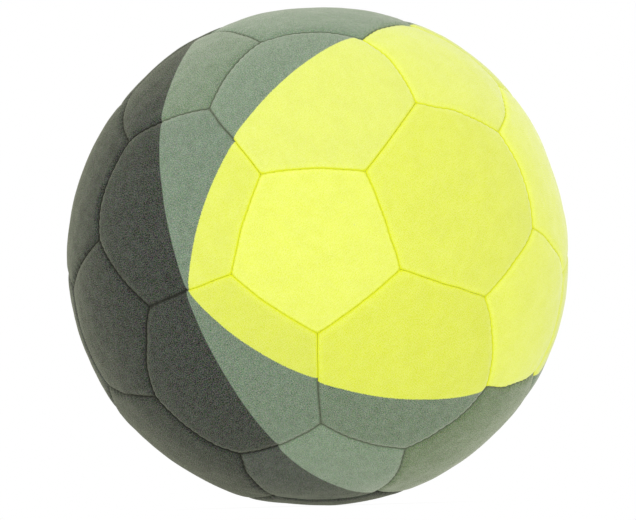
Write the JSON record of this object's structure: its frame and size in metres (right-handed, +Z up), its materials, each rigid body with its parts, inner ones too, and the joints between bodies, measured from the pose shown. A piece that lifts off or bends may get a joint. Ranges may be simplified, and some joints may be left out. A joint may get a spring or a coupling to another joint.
{
  "type": "indoor soccer ball",
  "caption": "Round felt-covered indoor soccer ball sewn from pentagon and hexagon panels over an inflated rubber bladder with a needle valve, printed in three colour fields.",
  "frame": {"origin": "centre of the ball", "axes": "+Y through the valve, -Y through the centre of the front pentagon, +Z up with one corner of the front pentagon pointing straight down, +X to the right as the front pentagon is looked at"},
  "size_m": [0.219, 0.2196, 0.2198],
  "materials": {
    "felt_yellow": "brushed felt, matt",
    "felt_green": "brushed felt, matt",
    "felt_dark": "brushed felt, matt",
    "thread": "waxed thread",
    "bladder_rubber": "satin",
    "valve_rubber": "satin",
    "patch_cloth": "woven cloth"
  },
  "bodies": {
    "root": {"bladder": "bladder_rubber", "hexagon_front_1": "felt_dark", "hexagon_front_2": "felt_green", "hexagon_front_3": "felt_yellow", "hexagon_front_4": "felt_yellow", "hexagon_front_5": "felt_yellow", "hexagon_front_ring_1": "felt_dark", "hexagon_front_ring_2": "felt_dark", "hexagon_front_ring_3": "felt_green", "hexagon_front_ring_4": "felt_yellow", "hexagon_front_ring_5": "felt_green", "hexagon_rear_1": "felt_dark", "hexagon_rear_2": "felt_dark", "hexagon_rear_3": "felt_dark", "hexagon_rear_4": "felt_green", "hexagon_rear_5": "felt_dark", "hexagon_rear_ring_1": "felt_dark", "hexagon_rear_ring_2": "felt_dark", "hexagon_rear_ring_3": "felt_dark", "hexagon_rear_ring_4": "felt_green", "hexagon_rear_ring_5": "felt_green", "pentagon_front": "felt_yellow", "pentagon_front_ring_1": "felt_green", "pentagon_front_ring_2": "felt_dark", "pentagon_front_ring_3": "felt_green", "pentagon_front_ring_4": "felt_yellow", "pentagon_front_ring_5": "felt_yellow", "pentagon_rear_ring_1": "felt_dark", "pentagon_rear_ring_2": "felt_dark", "pentagon_rear_ring_3": "felt_dark", "pentagon_rear_ring_4": "felt_dark", "pentagon_rear_ring_5": "felt_yellow", "pentagon_valve": "felt_dark", "seam_thread": "thread", "valve_body": "valve_rubber", "valve_patch": "patch_cloth", "valve_plug": "valve_rubber"}
  },
  "joints": []
}
